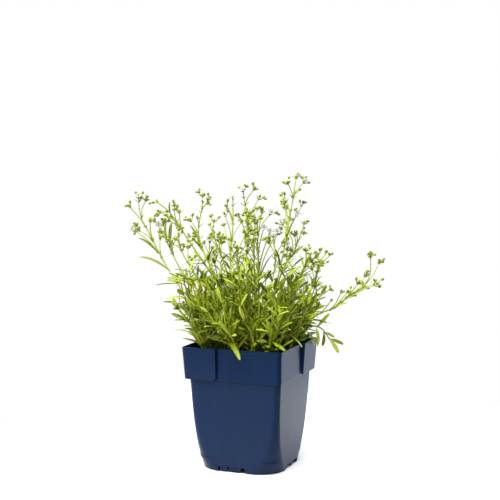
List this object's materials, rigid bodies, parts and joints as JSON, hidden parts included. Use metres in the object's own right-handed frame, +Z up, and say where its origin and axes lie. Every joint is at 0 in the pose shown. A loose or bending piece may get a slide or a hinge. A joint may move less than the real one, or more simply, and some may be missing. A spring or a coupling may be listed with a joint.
{
  "type": "potted creeping babys breath",
  "caption": "Low flowering plant with thin branching stems, narrow leaves, buds and small white blooms, in a square navy nursery pot.",
  "frame": {"origin": "middle of the pot's feet on the ground, under the middle of the plant's bounding box", "axes": "+Z up; -Y out of the wide front face of the pot, +X out of the face on the viewer's right, where the longest stem leans"},
  "size_m": [0.2494, 0.1603, 0.3068],
  "materials": {
    "navy_plastic": "satin",
    "peat": "rough",
    "leaf_green": "satin",
    "petal_white": "matte"
  },
  "bodies": {
    "root": {"bloom_01": "petal_white", "bloom_02": "petal_white", "bloom_03": "petal_white", "bloom_04": "petal_white", "bloom_05": "petal_white", "bloom_06": "petal_white", "bloom_07": "petal_white", "bloom_08": "petal_white", "bloom_09": "petal_white", "bloom_10": "petal_white", "bloom_11": "petal_white", "bloom_12": "petal_white", "bloom_13": "petal_white", "bloom_14": "petal_white", "bloom_15": "petal_white", "bloom_16": "petal_white", "leafy_shoot_01": "leaf_green", "leafy_shoot_02": "leaf_green", "leafy_shoot_03": "leaf_green", "leafy_shoot_04": "leaf_green", "leafy_shoot_05": "leaf_green", "leafy_shoot_06": "leaf_green", "leafy_shoot_07": "leaf_green", "leafy_shoot_08": "leaf_green", "leafy_shoot_09": "leaf_green", "leafy_shoot_10": "leaf_green", "leafy_shoot_11": "leaf_green", "leafy_shoot_12": "leaf_green", "leafy_shoot_13": "leaf_green", "leafy_shoot_14": "leaf_green", "leafy_shoot_15": "leaf_green", "leafy_shoot_16": "leaf_green", "leafy_shoot_17": "leaf_green", "leafy_shoot_18": "leaf_green", "leafy_shoot_19": "leaf_green", "leafy_shoot_20": "leaf_green", "leafy_shoot_21": "leaf_green", "leafy_shoot_22": "leaf_green", "pot": "navy_plastic", "shoot_drooping_right": "leaf_green", "soil": "peat", "stem_arching_left": "leaf_green", "stem_back_bloom": "leaf_green", "stem_back_left": "leaf_green", "stem_back_right": "leaf_green", "stem_far_left": "leaf_green", "stem_far_right": "leaf_green", "stem_front": "leaf_green", "stem_front_short": "leaf_green", "stem_left_buds": "leaf_green", "stem_left_short": "leaf_green", "stem_left_upright": "leaf_green", "stem_middle": "leaf_green", "stem_over_rim": "leaf_green", "stem_right_back": "leaf_green", "stem_right_front": "leaf_green", "stem_right_upright": "leaf_green", "stem_tall": "leaf_green", "stem_white_heads": "leaf_green"}
  },
  "joints": []
}
